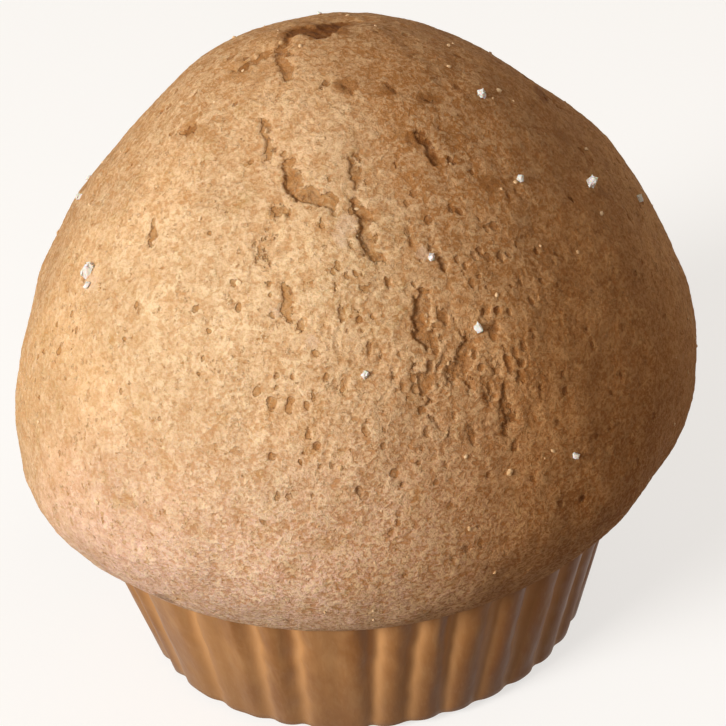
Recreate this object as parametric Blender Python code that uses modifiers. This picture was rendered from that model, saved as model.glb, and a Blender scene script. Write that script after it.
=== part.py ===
"""A small plain cake with a tall domed crown, baked in a pleated paper case.

Metres, +Z up, standing on z = 0. There are two solids: the cake, whose crown swells out over the case, with
its splits, torn pores and sugar crystals, and the paper case, a thin pleated wall on a flat base. Azimuths
run from the front, -Y, towards +X, in degrees, and latitudes from the crown's widest level, both seen from
the crown's centre.
"""

import math
import random

import bmesh
import bpy
import numpy as np
from mathutils import Matrix, Vector, noise

MM = 0.001

# The crown: a rounded cone over a shallower bowl, both as powers of the distance from its centre.
CROWN_RADIUS = 36.5 * MM
CROWN_LEVEL = 28.6 * MM  # height of the widest level
CROWN_RISE = 40.9 * MM  # from the widest level to the tip
CROWN_DROP = 20.8 * MM  # from the widest level to where the underside would close
RISE_POWER = 1.78
DROP_POWER = 1.86

# The paper case, measured over its pleats.
BASE_RADIUS = 25.2 * MM
WALL_SLOPE = 0.278  # outward run for each unit of height
RIM_HEIGHT = 17.5 * MM
PAPER = 0.4 * MM  # the greased paper with its crust of crumb
HEEL = 0.9 * MM  # radius of the turn from the base to the wall
RIM_PLEAT_DEPTH = 1.3 * MM
BASE_PLEAT_DEPTH = 0.45 * MM
GAP = 0.3 * MM  # between the cake and the paper
CASE_LEVELS = (0.2, 0.45, 0.72, 1.0)  # shares of the rim's height at which the wall is faceted

# The pleats: azimuth in degrees of each fold line round the front, and the share of the full depth that it
# goes in; then how many more follow round the back, and how uneven those are.
FRONT_FOLDS = (
    (-56, 0.8),
    (-41, 0.8),
    (-33, 0.2),
    (-26, 0.8),
    (-17, 1.0),
    (-8, 0.15),
    (0, 1.0),
    (8.5, 0.8),
    (17, 0.9),
    (26.5, 0.8),
    (36, 0.9),
    (46.5, 0.9),
)
BACK_FOLDS = 26
BACK_WIDTHS = (0.8, 1.2)
BACK_SHARES = (0.6, 1.0)
FOLD_SHAPE = ((0.0, 1.0), (1.6, 0.55), (3.3, 0.1))  # degrees from a fold line, share of its depth there
SLANT = 3.0  # degrees that a fold line runs round between the base and the rim

# How finely the solids are faceted.
AROUND = 176
LATITUDE_STEP = 2.0
CAKE_TRIANGLES = 7200

# Swellings of the crown: azimuth, latitude, spread in degrees, height in mm.
SWELLINGS = (
    (105, 12, 40, 2.7),
    (150, 60, 35, 1.4),
    (-150, 60, 35, 0.4),
    (-115, 35, 30, -1.4),
    (-92, 0, 30, 0.85),
    (86, -7, 13, 0.45),
    (103, 21, 13, 0.4),
    (113, 34, 13, 0.9),
    (110, 31, 4, -0.4),
    (-131, 49, 13, -0.45),
    (-116, 37, 13, 0.85),
    (-105, 24, 13, 0.85),
    (-96, 10, 13, -0.85),
    (-88, -3, 13, -0.65),
    (-80, -17, 13, 0.4),
    (20, -35, 40, 0.5),
    (172, -4, 45, 1.3),
    (150, 84, 6, -0.45),
    (130, 68, 8, 0.35),
    (-108, 70, 9, 0.5),
    (99, 60, 9, 0.45),
    (88, 14, 16, 0.4),
    (99, 39, 7, 0.3),
    (62, -8, 12, -0.7),
)

# Splits and torn pores: width and depth in mm, then the azimuth and latitude of each point along them.
TEARS = (
    (2.6, 1.5, (-160, 86.5), (84, 88.5), (146, 84.5), (139, 81)),
    (1.5, 1.2, (-160, 86.5), (-108, 87), (-53, 84.5), (-31, 81.5), (-21, 79)),
    (1.4, 0.9, (-53, 84), (-66, 83), (-64, 81), (-67, 77.5)),
    (1.4, 0.8, (-27, 71.5), (-22, 69), (-19, 66.5), (-18, 64)),
    (2.8, 1.4, (-11.5, 64), (-11, 61), (-8.5, 59.5), (-3, 58.5), (1.5, 57.5)),
    (1.6, 0.8, (-14, 57), (-11, 56.5)),
    (2.6, 0.9, (-14.5, 53.5), (-17.5, 51.5), (-16, 49.5), (-17.5, 46.5)),
    (1.6, 0.8, (-10.5, 45.5), (-10.5, 41.5), (-9, 40.5)),
    (2.4, 0.8, (10.5, 63.5), (9.5, 60)),
    (2.4, 1.3, (7.5, 57), (8.5, 54.5), (8, 52), (8.5, 49.5), (9.5, 48.5)),
    (1.9, 1.2, (17, 41.5), (15.5, 38.5), (14.5, 36), (16, 34.5)),
    (1.9, 1.1, (23.5, 33.5), (21.5, 30.5), (20.5, 29.5), (18.5, 28.5)),
    (1.6, 0.8, (27.5, 25.5), (26.5, 22.5), (27, 20), (25.5, 18.5)),
    (1.8, 0.9, (34, 64.5), (34.5, 63), (34, 60)),
    (1.2, 0.6, (-50.5, 53), (-48, 50.5), (-46, 48.5)),
    (1.8, 0.9, (-57, 67), (-60, 66)),
    (2.4, 0.8, (101, 52.5), (96, 50)),
    (2.4, 1.0, (174, 62), (176, 59.5), (-178, 58), (-171, 58.5)),
    (1.8, 1.0, (-147, 66), (-144, 63), (-146, 60)),
    (1.7, 0.8, (150, 47), (152.5, 44), (151.5, 41)),
    (1.6, 0.9, (-163, 43), (-161, 40.5), (-162.5, 38)),
    (1.5, 0.7, (-124, 38), (-122, 36)),
)
TEAR_STEP = 0.5 * MM  # between points along a split
TEAR_ENDS = 0.55  # share of a split's depth at its two ends
TEAR_FLOOR = 0.25  # share of a split's half width over which its floor is flat
SAME_SIDE = 0.6  # cosine from a split's middle beyond which the crown is out of its reach

# The crumb's own unevenness: spread and height in mm. It comes in over the first height above the rim.
LUMPS = ((13, 0.42), (5.5, 0.22), (2.6, 0.10))
CRUMB_FADE = 4 * MM

# Sugar crystals by azimuth, latitude and width in mm, and how many more are scattered over the rest.
CRYSTALS = (
    (-62, 40.5, 1.9),
    (-60, 38.5, 1.2),
    (73.5, 42.5, 1.6),
    (69.5, 64, 1.1),
    (25.5, 34.5, 1.4),
    (3.5, 31.5, 1.3),
    (53.5, 51.5, 1.1),
    (37, 10, 1.0),
    (21, 46.5, 1.1),
    (89, 31, 1.0),
)
SCATTERED_CRYSTALS = 14
CRYSTALS_APART = 10  # degrees at least
SCATTER_AZIMUTHS = (100, 290)
SCATTER_SINES = (-0.05, 0.97)  # of the latitude
SCATTER_WIDTHS = (0.9, 1.4)
CRYSTAL_STANDS = 0.14  # share of a crystal's width that its middle stands out
CRYSTAL_SIDES = (0.85, 1.1)
CRYSTAL_HEIGHTS = (0.7, 0.95)


def clear_scene():
    for thing in list(bpy.data.objects):
        bpy.data.objects.remove(thing)


def new_collection(name):
    collection = bpy.data.collections.new(name)
    bpy.context.scene.collection.children.link(collection)
    return collection


def material(name, colour, roughness):
    made = bpy.data.materials.new(name)
    made.use_nodes = True
    shader = made.node_tree.nodes["Principled BSDF"]
    shader.inputs["Base Color"].default_value = (*colour, 1.0)
    shader.inputs["Roughness"].default_value = roughness
    shader.inputs["Metallic"].default_value = 0.0
    return made


def make_active(thing):
    bpy.ops.object.select_all(action="DESELECT")
    thing.select_set(True)
    bpy.context.view_layer.objects.active = thing


def apply_modifiers(thing):
    make_active(thing)
    for modifier in list(thing.modifiers):
        bpy.ops.object.modifier_apply(modifier=modifier.name)


def toward(azimuth, latitude):
    """The unit direction from the crown's centre."""
    azimuth, latitude = math.radians(azimuth), math.radians(latitude)
    level = math.cos(latitude)
    return np.array((math.sin(azimuth) * level, -math.cos(azimuth) * level, math.sin(latitude)))


def crown_reach(latitude):
    """Distance from the crown's centre to its plain turned surface."""
    out, up = math.cos(latitude), math.sin(latitude)
    height, power = (CROWN_RISE, RISE_POWER) if up >= 0 else (CROWN_DROP, DROP_POWER)
    return ((out / CROWN_RADIUS) ** power + (abs(up) / height) ** power) ** (-1 / power)


def crown_edge():
    """Latitude, in radians, where the crown's underside meets the level just above the case's rim."""
    low, high = -math.radians(60), 0.0
    for _ in range(50):
        middle = (low + high) / 2
        height = CROWN_LEVEL + crown_reach(middle) * math.sin(middle)
        if height < RIM_HEIGHT + GAP:
            low = middle
        else:
            high = middle
    return high


def wall_radius(height):
    return BASE_RADIUS + WALL_SLOPE * height


def pleat_depth(height):
    return BASE_PLEAT_DEPTH + (RIM_PLEAT_DEPTH - BASE_PLEAT_DEPTH) * height / RIM_HEIGHT


def core_radius(height):
    """The cake inside the case, clear of the pleats."""
    return wall_radius(height) - pleat_depth(height) - PAPER - GAP


def cake_profile():
    """(radius, height) from the tip down the outside and in under the base."""
    edge = crown_edge()
    shelf = RIM_HEIGHT + GAP
    floor = PAPER + GAP
    count = round((90 - math.degrees(edge)) / LATITUDE_STEP)
    points = []
    for step in range(count + 1):
        latitude = math.pi / 2 + (edge - math.pi / 2) * step / count
        reach = crown_reach(latitude)
        points.append((reach * math.cos(latitude), CROWN_LEVEL + reach * math.sin(latitude)))
    points[0] = (0.0, points[0][1])
    points[-1] = (points[-1][0], shelf)
    points += [(core_radius(shelf), shelf), (core_radius(HEEL), floor + HEEL)]
    points += [(core_radius(floor) - HEEL, floor), (0.0, floor)]
    return points


def turned(name, profile, collection):
    """A closed body turned about Z from a profile that starts and ends on the axis."""
    mesh = bpy.data.meshes.new(name)
    points = [(radius, 0.0, height) for radius, height in profile]
    edges = [(index, index + 1) for index in range(len(points) - 1)]
    mesh.from_pydata(points, edges, [])
    body = bpy.data.objects.new(name, mesh)
    collection.objects.link(body)
    screw = body.modifiers.new("Turn", "SCREW")
    screw.steps = screw.render_steps = AROUND
    screw.use_merge_vertices = True
    screw.merge_threshold = 1e-6
    apply_modifiers(body)
    return body


def swelling(direction):
    """Height that the broad swellings add, in metres, for an array of unit directions."""
    height = np.zeros(len(direction))
    for azimuth, latitude, spread, rise in SWELLINGS:
        cosine = np.clip(direction @ toward(azimuth, latitude), -1, 1)
        height += rise * MM * np.exp(-((np.degrees(np.arccos(cosine)) / spread) ** 2))
    return height


def lumps(points):
    """The crumb's own unevenness, in metres."""

    def height(point):
        return sum(rise * MM * noise.noise(point / (spread * MM)) for spread, rise in LUMPS)

    return np.array([height(Vector(point)) for point in points])


def tear_path(tear):
    """Directions of evenly spaced points along a split."""
    stations = [toward(*place) for place in tear[2:]]
    path = []
    for start, end in zip(stations, stations[1:]):
        steps = max(2, round(np.linalg.norm(end - start) * CROWN_RADIUS / TEAR_STEP))
        path += [start + (end - start) * step / steps for step in range(steps)]
    path.append(stations[-1])
    path = np.array(path)
    return path / np.linalg.norm(path, axis=1)[:, None]


def tears(direction):
    """Depth that the splits and pores take away, in metres."""
    depth = np.zeros(len(direction))
    for tear in TEARS:
        width, deepest = tear[0] * MM, tear[1] * MM
        path = tear_path(tear)
        near = np.flatnonzero(direction @ path.mean(axis=0) > SAME_SIDE)
        spacing = np.linalg.norm(direction[near, None] - path[None], axis=2) * CROWN_RADIUS
        along = spacing.argmin(axis=1) / max(1, len(path) - 1)
        taper = TEAR_ENDS + (1 - TEAR_ENDS) * np.sin(np.pi * along)
        across = spacing.min(axis=1) / (width / 2)
        cut = deepest * taper * np.clip(1 + TEAR_FLOOR - across, 0, 1)
        depth[near] = np.maximum(depth[near], cut)
    return depth


def shape_crown(cake):
    """Swells, crumbles and splits the crown, and leaves the part inside the case as it was turned."""
    mesh = cake.data
    points = np.empty(len(mesh.vertices) * 3)
    mesh.vertices.foreach_get("co", points)
    points = points.reshape(-1, 3)
    shelf = RIM_HEIGHT + GAP
    close = 0.01 * MM
    inside_case = np.hypot(points[:, 0], points[:, 1]) < core_radius(shelf) + close
    crown = (points[:, 2] > shelf - close) & ~(inside_case & (points[:, 2] < CROWN_LEVEL))
    offset = points[crown] - (0, 0, CROWN_LEVEL)
    direction = offset / np.linalg.norm(offset, axis=1)[:, None]
    fade = np.clip((points[crown, 2] - shelf) / CRUMB_FADE, 0, 1)
    rise = swelling(direction) + fade * (lumps(points[crown]) - tears(direction))
    moved = points[crown] + direction * rise[:, None]
    moved[fade == 0, 2] = shelf
    moved[:, 2] = np.maximum(moved[:, 2], shelf)
    points[crown] = moved
    mesh.vertices.foreach_set("co", points.ravel())
    mesh.update()


def thin_out(body, triangles):
    """Fewer facets, kept where the surface bends most."""
    body.data.calc_loop_triangles()
    decimate = body.modifiers.new("Thin out", "DECIMATE")
    decimate.ratio = min(1.0, triangles / len(body.data.loop_triangles))
    decimate.use_collapse_triangulate = True
    apply_modifiers(body)


def crystal_places(rng):
    places = list(CRYSTALS)
    closest = math.cos(math.radians(CRYSTALS_APART))
    while len(places) < len(CRYSTALS) + SCATTERED_CRYSTALS:
        azimuth = rng.uniform(*SCATTER_AZIMUTHS)
        latitude = math.degrees(math.asin(rng.uniform(*SCATTER_SINES)))
        if all(toward(azimuth, latitude) @ toward(*other[:2]) < closest for other in places):
            places.append((azimuth, latitude, rng.uniform(*SCATTER_WIDTHS)))
    return places


def add_crystal(name, spot, direction, width, rng, helpers):
    """One rounded grain, set askew with its middle just outside the crust."""
    shape = bmesh.new()
    bmesh.ops.create_icosphere(shape, subdivisions=1, radius=width / 2)
    axis = Vector(rng.uniform(-1, 1) for _ in range(3))
    turn = Matrix.Rotation(rng.uniform(0, math.tau), 4, axis)
    sides = rng.uniform(*CRYSTAL_SIDES), rng.uniform(*CRYSTAL_SIDES)
    squash = Matrix.Diagonal((*sides, rng.uniform(*CRYSTAL_HEIGHTS), 1))
    place = Matrix.Translation(spot + direction * (width * CRYSTAL_STANDS))
    bmesh.ops.transform(shape, matrix=place @ turn @ squash, verts=shape.verts)
    mesh = bpy.data.meshes.new(name)
    shape.to_mesh(mesh)
    shape.free()
    crystal = bpy.data.objects.new(name, mesh)
    helpers.objects.link(crystal)
    crystal.hide_render = True
    crystal.display_type = "WIRE"


def add_crystals(cake, helpers):
    """Sugar crystals sunk into the crust, joined to the cake in one union."""
    rng = random.Random(7)
    for index, (azimuth, latitude, width) in enumerate(crystal_places(rng)):
        direction = Vector(toward(azimuth, latitude))
        start = Vector((0, 0, CROWN_LEVEL)) + direction * (2 * CROWN_RADIUS)
        hit, spot, _normal, _face = cake.ray_cast(start, -direction)
        if hit:
            add_crystal(f"crystal_{index}", spot, direction, width * MM, rng, helpers)
    union = cake.modifiers.new("Crystals", "BOOLEAN")
    union.operation = "UNION"
    union.operand_type = "COLLECTION"
    union.collection = helpers
    union.solver = "EXACT"
    apply_modifiers(cake)
    for crystal in list(helpers.objects):
        bpy.data.objects.remove(crystal)


def make_cake(parts, helpers):
    cake = turned("cake", cake_profile(), parts)
    shape_crown(cake)
    thin_out(cake, CAKE_TRIANGLES)
    add_crystals(cake, helpers)
    cake.data.materials.clear()
    cake.data.materials.append(material("golden crumb", (0.60, 0.36, 0.17), 0.85))


def pleat_folds():
    """Azimuth in degrees of each fold line, in order, and the share of the full depth that it goes in."""
    rng = random.Random(11)
    first, last = FRONT_FOLDS[0][0], FRONT_FOLDS[-1][0]
    widths = [rng.uniform(*BACK_WIDTHS) for _ in range(BACK_FOLDS + 1)]
    stretch = (360 + first - last) / sum(widths)
    folds = list(FRONT_FOLDS)
    for width in widths[:-1]:
        last += width * stretch
        folds.append((last, rng.uniform(*BACK_SHARES)))
    return folds


def pleat_stations():
    """(azimuth, share of the depth) round the case: the sides of each fold, and the panels between."""
    folds = pleat_folds()
    stations = []
    for (azimuth, share), (next_azimuth, next_share) in zip(folds, folds[1:] + folds[:1]):
        width = (next_azimuth - azimuth) % 360
        stations += [(azimuth + offset, share * part) for offset, part in FOLD_SHAPE]
        stations.append((azimuth + width / 2, 0.0))
        stations += [(azimuth + width - offset, next_share * part) for offset, part in FOLD_SHAPE[:0:-1]]
    return stations


def case_ring(height, stations):
    """One level of the pleated wall."""
    ring = []
    turn = SLANT * (height / RIM_HEIGHT - 0.5)
    for azimuth, share in stations:
        angle = math.radians(azimuth + turn)
        radius = wall_radius(height) - pleat_depth(height) * share
        ring.append((radius * math.sin(angle), -radius * math.cos(angle), height))
    return ring


def make_case(parts):
    """An open pleated cup, given its thickness inwards."""
    stations = pleat_stations()
    shape = bmesh.new()
    flat = 1 - HEEL / BASE_RADIUS
    base = [shape.verts.new((x * flat, y * flat, 0.0)) for x, y, _ in case_ring(0.0, stations)]
    shape.faces.new(reversed(base))
    below = base
    for height in (HEEL, *(share * RIM_HEIGHT for share in CASE_LEVELS)):
        ring = [shape.verts.new(point) for point in case_ring(height, stations)]
        for index, vertex in enumerate(ring):
            following = (index + 1) % len(ring)
            shape.faces.new((below[index], below[following], ring[following], vertex))
        below = ring
    mesh = bpy.data.meshes.new("paper_case")
    shape.to_mesh(mesh)
    shape.free()
    case = bpy.data.objects.new("paper_case", mesh)
    parts.objects.link(case)
    wall = case.modifiers.new("Paper", "SOLIDIFY")
    wall.thickness = PAPER
    wall.offset = -1.0
    mesh.materials.append(material("greased paper", (0.42, 0.22, 0.09), 0.5))


def main():
    clear_scene()
    parts = new_collection("cupcake")
    helpers = new_collection("helpers")
    make_cake(parts, helpers)
    make_case(parts)


main()
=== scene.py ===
"""The looks of a domed cupcake in its pleated paper case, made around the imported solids. Metres, +Z up.

The pieces are the sponge with its torn crust, the sugar crystals and crumbs on it, and the pleated case.
Azimuths run in degrees from the front, -Y, towards +X, and latitudes from the crown's widest level.
"""

import math
import random

import bmesh
import bpy
import numpy as np
from mathutils import Matrix, Vector, kdtree, noise


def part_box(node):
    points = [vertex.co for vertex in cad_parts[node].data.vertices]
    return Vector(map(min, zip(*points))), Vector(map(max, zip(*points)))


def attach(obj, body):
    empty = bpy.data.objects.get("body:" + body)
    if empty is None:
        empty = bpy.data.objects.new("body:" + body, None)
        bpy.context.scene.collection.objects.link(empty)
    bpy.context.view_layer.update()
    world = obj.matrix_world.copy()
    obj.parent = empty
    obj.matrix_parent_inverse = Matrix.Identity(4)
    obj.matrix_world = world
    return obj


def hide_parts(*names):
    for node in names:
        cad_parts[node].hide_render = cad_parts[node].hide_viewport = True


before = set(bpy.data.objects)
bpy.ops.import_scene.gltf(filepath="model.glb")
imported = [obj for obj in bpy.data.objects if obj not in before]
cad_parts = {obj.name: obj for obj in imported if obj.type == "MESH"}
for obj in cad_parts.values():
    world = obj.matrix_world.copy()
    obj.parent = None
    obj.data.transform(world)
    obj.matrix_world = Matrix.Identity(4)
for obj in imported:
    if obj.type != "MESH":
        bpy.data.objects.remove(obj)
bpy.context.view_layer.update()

MM = 0.001

# The sponge, as in the solids.
CROWN_RADIUS = 36.5 * MM
CROWN_LEVEL = 28.6 * MM
CROWN_RISE = 40.9 * MM
CROWN_DROP = 20.8 * MM
RISE_POWER = 1.78
DROP_POWER = 1.86
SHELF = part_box("paper_case")[1].z + 0.3 * MM  # the crown's underside, just clear of the rim
SPONGE_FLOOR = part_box("cake")[0].z

# The paper case, as in the solids.
BASE_RADIUS = 25.2 * MM
WALL_SLOPE = 0.278
RIM_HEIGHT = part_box("paper_case")[1].z
PAPER = 0.4 * MM
HEEL = 0.9 * MM
SLANT = 3.0  # degrees that a fold line runs round between the base and the rim
RIM_PLEAT_DEPTH = 1.3 * MM
BASE_PLEAT_DEPTH = 0.45 * MM

# The pleats: azimuth of each fold line round the front and the share of the full depth that it goes in;
# then how many follow round the back, and the paper's form across a fold.
FRONT_FOLDS = (
    (-56, 0.8),
    (-41, 0.8),
    (-33, 0.2),
    (-26, 0.8),
    (-17, 1.0),
    (-8, 0.15),
    (0, 1.0),
    (8.5, 0.8),
    (17, 0.9),
    (26.5, 0.8),
    (36, 0.9),
    (46.5, 0.9),
)
BACK_FOLDS = 26
FOLD_GAPS = (0, 0.8, 1.6, 2.4, 3.3, 4.4)  # degrees from a fold line
FOLD_SHAPE = (1.0, 0.88, 0.55, 0.28, 0.1, 0.0)
COLUMNS = 760

# Broad swellings of the crown: azimuth, latitude, spread in degrees, height in mm.
SWELLINGS = (
    (105, 12, 40, 2.7),
    (150, 60, 35, 1.4),
    (-150, 60, 35, 0.4),
    (-115, 35, 30, -1.4),
    (-92, 0, 30, 0.85),
    (86, -7, 13, 0.45),
    (103, 21, 13, 0.4),
    (113, 34, 13, 0.9),
    (110, 31, 4, -0.4),
    (-131, 49, 13, -0.45),
    (-116, 37, 13, 0.85),
    (-105, 24, 13, 0.85),
    (-96, 10, 13, -0.85),
    (-88, -3, 13, -0.65),
    (-80, -17, 13, 0.4),
    (20, -35, 40, 0.5),
    (172, -4, 45, 1.3),
    (150, 84, 6, -0.45),
    (130, 68, 8, 0.35),
    (-108, 70, 9, 0.5),
    (99, 60, 9, 0.45),
    (88, 14, 16, 0.4),
    (99, 39, 7, 0.3),
    (62, -4, 10, -0.7),
)

# Splits and torn pores: width and depth in mm, then azimuth and latitude of each point along them.
TEARS = (
    (2.6, 1.5, (-160, 86.5), (84, 88.5), (146, 84.5), (139, 81)),
    (1.5, 1.2, (-160, 86.5), (-108, 87), (-53, 84.5), (-31, 81.5), (-21, 79)),
    (1.4, 0.9, (-53, 84), (-66, 83), (-64, 81), (-67, 77.5)),
    (1.4, 0.8, (-27, 71.5), (-22, 69), (-19, 66.5), (-18, 64)),
    (2.0, 1.4, (-11.5, 64), (-11, 61), (-8.5, 59.5), (-3, 58.5), (1.5, 57.5)),
    (1.6, 0.8, (-14, 57), (-11, 56.5)),
    (1.9, 0.6, (-14.5, 53.5), (-17.5, 51.5), (-16, 49.5), (-17.5, 46.5)),
    (1.6, 0.8, (-10.5, 45.5), (-10.5, 41.5), (-9, 40.5)),
    (2.4, 0.8, (10.5, 63.5), (9.5, 60)),
    (1.9, 1.3, (7.5, 57), (8.5, 54.5), (8, 52), (8.5, 49.5), (9.5, 48.5)),
    (1.9, 1.2, (17, 41.5), (15.5, 38.5), (14.5, 36), (16, 34.5)),
    (1.9, 0.9, (23.5, 33.5), (21.5, 30.5), (20.5, 29.5), (18.5, 28.5)),
    (1.6, 0.65, (27.5, 25.5), (26.5, 22.5), (27, 20), (25.5, 18.5)),
    (1.8, 0.9, (34, 64.5), (34.5, 63), (34, 60)),
    (1.2, 0.9, (-50.5, 53), (-48, 50.5), (-46, 48.5)),
    (1.8, 0.9, (-57, 67), (-60, 66)),
    (2.4, 0.8, (101, 52.5), (96, 50)),
    (2.4, 1.0, (174, 62), (176, 59.5), (-178, 58), (-171, 58.5)),
    (1.8, 1.0, (-147, 66), (-144, 63), (-146, 60)),
    (1.7, 0.8, (150, 47), (152.5, 44), (151.5, 41)),
    (1.6, 0.9, (-163, 43), (-161, 40.5), (-162.5, 38)),
    (1.5, 0.7, (-124, 38), (-122, 36)),
    # Finer ones, in the crust's torn patch and round the tip.
    (1.0, 0.5, (38.7, 72.6)),
    (1.2, 0.6, (48, 69.8), (50.8, 68.3)),
    (1.2, 0.5, (17, 76)),
    (1.1, 0.6, (19, 51)),
    (1.3, 0.6, (22, 48)),
    (0.9, 0.45, (-88.5, 50.7)),
    (0.8, 0.4, (-78.7, 57)),
    (1.0, 0.5, (-0.5, 38.5), (-1, 36), (0, 35), (1.7, 33.8)),
    (0.7, 0.4, (7, 35.7), (6.8, 34.4), (5.7, 33.2)),
    (1.1, 0.6, (8.6, 31.6), (8.4, 29.6)),
    (1.0, 0.6, (12.4, 32.5), (12.6, 30.2)),
    (1.1, 0.6, (17.5, 31.5), (16, 29.6)),
    (1.0, 0.6, (21, 27.7), (21.3, 25.4)),
    (1.7, 0.6, (26.8, 28.6), (26.6, 26.6)),
    (1.2, 0.6, (24, 25.4), (24, 23)),
    (1.3, 0.6, (5.6, 27), (6, 26)),
    (1.1, 0.6, (13.7, 26.7), (13.7, 23.6), (14.2, 22)),
    (1.0, 0.5, (16.3, 21), (15.5, 19.7)),
    (1.0, 0.5, (20.2, 20.6), (20.3, 19)),
    (0.7, 0.4, (0.3, 26.6), (0.3, 24.9)),
    (1.2, 0.5, (-1.4, 30.9), (-1.4, 29.5)),
    (1.2, 0.5, (28.6, 36.8), (26.8, 35.7)),
    (1.0, 0.5, (21.3, 38)),
    (0.9, 0.4, (3.5, 40.8)),
    (1.1, 0.4, (1.2, 22.5)),
)

# The crust's colours.
GOLDEN = (0.69, 0.42, 0.20)
PALE = (0.90, 0.67, 0.41)
PINK = (0.88, 0.58, 0.50)
ORANGE = (0.58, 0.30, 0.105)
RUST = (0.43, 0.20, 0.06)
DARK_RUST = (0.28, 0.11, 0.026)
BROWN = (0.53, 0.255, 0.088)
DARK_BROWN = (0.37, 0.13, 0.022)
FLAKE = (0.88, 0.70, 0.56)
LIGHT_SPECKLE = (0.90, 0.66, 0.41), (0.60, 0.31, 0.115)  # where lightly browned, and where browned by baking and by painted shade
DARK_SPECKLE = (0.50, 0.235, 0.08), (0.30, 0.105, 0.02)
CRUMB_AND_DEPTH_SHADE = (0.58, 0.44, 0.28), (0.40, 0.26, 0.14)  # darkens a split's sides, and its floor: the open crumb's own colour, with painted shade that deepens towards the floor

# Zones of the crust, painted one over the other: azimuth, latitude, reach in mm, share and colour.
ZONES = (
    (-8, -16, 38, 0.95, PINK),
    (-42, -14, 26, 0.8, (0.80, 0.54, 0.49)),
    (-104, 22, 30, 0.9, (0.46, 0.225, 0.08)),
    (-104, 56, 32, 0.7, (0.48, 0.25, 0.095)),
    (-22, 46, 32, 0.9, PALE),
    (180, 50, 55, 0.65, BROWN),
    # Round the right side, away from the key light, the crust is browner: partly its own darker bake,
    # partly painted shade.
    (88, 22, 60, 1.0, BROWN),
    (60, 5, 34, 0.75, BROWN),
    (38, 62, 31, 0.95, (0.35, 0.14, 0.034)),
    (15, 77, 13, 0.8, (0.40, 0.165, 0.042)),
    # Painted light: lighter crust near the right edge, lifting the painted shade there.
    (98, 10, 40, 0.9, (0.78, 0.45, 0.20)),
    # Low on the right, under the crown's bulge on its shaded side: partly darker crust, partly painted
    # shade.
    (50, -14, 40, 1.0, DARK_BROWN),
    (5, -48, 18, 0.8, (0.45, 0.21, 0.075)),
    # Under the bulge on the right: partly darker crust, partly painted shade.
    (38, -38, 22, 0.6, (0.33, 0.13, 0.035)),
    (-14, 75, 10, 0.6, (0.88, 0.64, 0.38)),
    (-1, 66, 8, 0.7, (0.92, 0.68, 0.42)),
    (0, 50, 12, 0.8, (0.88, 0.65, 0.38)),
)
# How far the crust is browned: by baking, and round the right side, away from the key light, partly by
# painted shade.
BAKE_AND_SHADE = ((1.1, 84, 16, 62), (0.7, 180, 50, 55), (0.9, 46, -10, 42))  # share, then place and reach
COARSE = (12, -24, 46)  # azimuth, latitude and reach of the coarse grain low in front
CALM = (-60, 14, 42)  # and of the even skin at the left
CALM_SHARE = 0.45
RIM_MOIST_AND_SHADE = (0.33, 0.145, 0.045)  # the crumb next to the paper: partly moist, partly painted contact shade
RIM_CALM = 0.45  # how even that band of painted shade is

# Small ragged spots, painted last: soft brown and dark ones, some of them painted shadow in the notch on
# the crown's top, and pale dry flakes.
SPOTS = (
    (-52, 81, 1.0, 0.6, RUST),
    (-44, 77.5, 1.3, 0.5, RUST),
    (-67, 78, 1.0, 0.6, RUST),
    (-56.5, 66.5, 1.5, 0.7, RUST),
    (-105, 68, 0.6, 0.6, RUST),
    # Painted shadow: the far side of the notch in the crown's top, in shade.
    (168, 86.5, 2.1, 0.85, DARK_RUST),
    (-150, 87, 1.4, 0.8, DARK_RUST),
    (136, 85.5, 1.9, 0.85, DARK_RUST),
    (17, 76, 0.8, 0.8, DARK_RUST),
    (37, 73, 0.8, 0.8, DARK_RUST),
    (49, 69.5, 0.8, 0.9, DARK_RUST),
    (52, 68, 0.5, 0.9, DARK_RUST),
    (33.5, 64, 0.9, 0.8, DARK_RUST),
    (34, 60.3, 0.7, 0.9, DARK_RUST),
    (44, 53.5, 0.9, 0.8, DARK_RUST),
    (94, 53.5, 1.2, 0.9, DARK_RUST),
    (81, 49.5, 1.0, 0.6, DARK_RUST),
    (75, 40, 0.9, 0.7, DARK_RUST),
    (-38, -12.5, 1.0, 0.7, (0.16, 0.10, 0.06)),
    (27, 66, 0.5, 0.6, RUST),
    (-15, 50, 1.1, 0.4, RUST),
    (4.5, 53.5, 0.8, 0.4, FLAKE),
    (2.5, 51.5, 0.6, 0.4, FLAKE),
    (-12.5, 41.5, 0.6, 0.4, FLAKE),
    (-5.5, 36.5, 0.6, 0.4, FLAKE),
    (19.5, 47.5, 0.5, 0.4, FLAKE),
    (-60, 39.5, 0.9, 0.4, FLAKE),
)

# The paper's colours: its two tones, then painted shade round its right side, its streaks, painted light
# in its folds, painted shade low down, and its fibres.
PAPER_DARK, PAPER_PALE = (0.25, 0.10, 0.024), (0.38, 0.185, 0.068)
PAPER_RIGHT_SHADE, PAPER_STREAK = (0.23, 0.075, 0.009), (0.44, 0.25, 0.11)
PAPER_FOLD_LIGHT, PAPER_LOW_SHADE = (0.53, 0.27, 0.105), (0.19, 0.09, 0.038)
PAPER_FIBRE = (0.55, 0.36, 0.2)

# Sugar crystals in front: azimuth, latitude and width in mm; then how many are scattered behind.
CRYSTALS = (
    (-62, 40.5, 1.9),
    (-60, 38.5, 1.2),
    (73.5, 42.5, 2.1),
    (69.5, 64, 1.1),
    (25.5, 34.5, 1.15),
    (3.5, 31.5, 1.1),
    (53.5, 51.5, 0.9),
    (37, 10, 1.0),
    (21, 46.5, 1.1),
    (89, 31, 1.0),
)
SCATTERED_CRYSTALS = 14
CRYSTALS_APART = 10  # degrees at least

# Lumps of the crown: width and height.
LUMPS = ((13 * MM, 0.42 * MM), (5.5 * MM, 0.22 * MM), (2.6 * MM, 0.10 * MM))

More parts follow.
